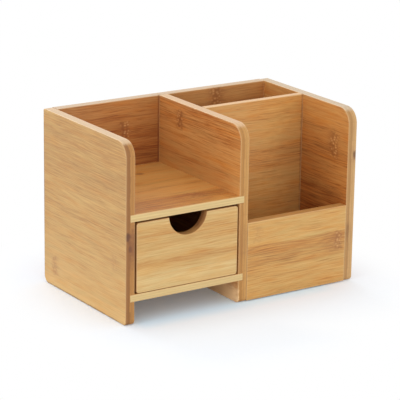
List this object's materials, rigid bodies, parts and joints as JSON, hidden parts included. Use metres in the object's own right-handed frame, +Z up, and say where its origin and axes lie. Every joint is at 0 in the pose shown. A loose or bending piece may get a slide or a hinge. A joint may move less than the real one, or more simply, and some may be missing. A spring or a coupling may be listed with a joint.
{
  "type": "desk organizer",
  "caption": "Wooden desk organizer: an open tray over a sliding drawer with a finger notch, a pen bay with a low front, and a rear slot.",
  "frame": {"origin": "centre of the footprint at table height", "axes": "+X to the right along the width, the open front faces -Y, +Z up"},
  "size_m": [0.24, 0.14, 0.16],
  "materials": {
    "panel_bamboo": "clear satin lacquer over horizontally laminated bamboo",
    "board_bamboo": "clear satin lacquer over pale laminated bamboo",
    "inner_bamboo": "clear satin lacquer over laminated bamboo",
    "dowel_wood": "bare turned wood, glued in"
  },
  "bodies": {
    "carcass": {"left_side_panel": "panel_bamboo", "middle_divider": "panel_bamboo", "right_side_panel": "panel_bamboo", "back_panel": "inner_bamboo", "shelf": "board_bamboo", "drawer_bay_floor": "board_bamboo", "cross_divider": "inner_bamboo", "front_board": "board_bamboo", "pen_bay_floor": "inner_bamboo", "back_panel_dowels": "dowel_wood", "divider_dowels": "dowel_wood", "front_board_dowels": "dowel_wood", "cross_divider_dowels": "dowel_wood"},
    "drawer": {"drawer_front": "board_bamboo", "drawer_left_side": "inner_bamboo", "drawer_right_side": "inner_bamboo", "drawer_back": "inner_bamboo", "drawer_bottom": "inner_bamboo"}
  },
  "joints": [
    {"name": "drawer_slide", "type": "slide", "parent": "carcass", "child": "drawer", "axis": [0, -1, 0], "range_m": [0, 0.1]}
  ]
}
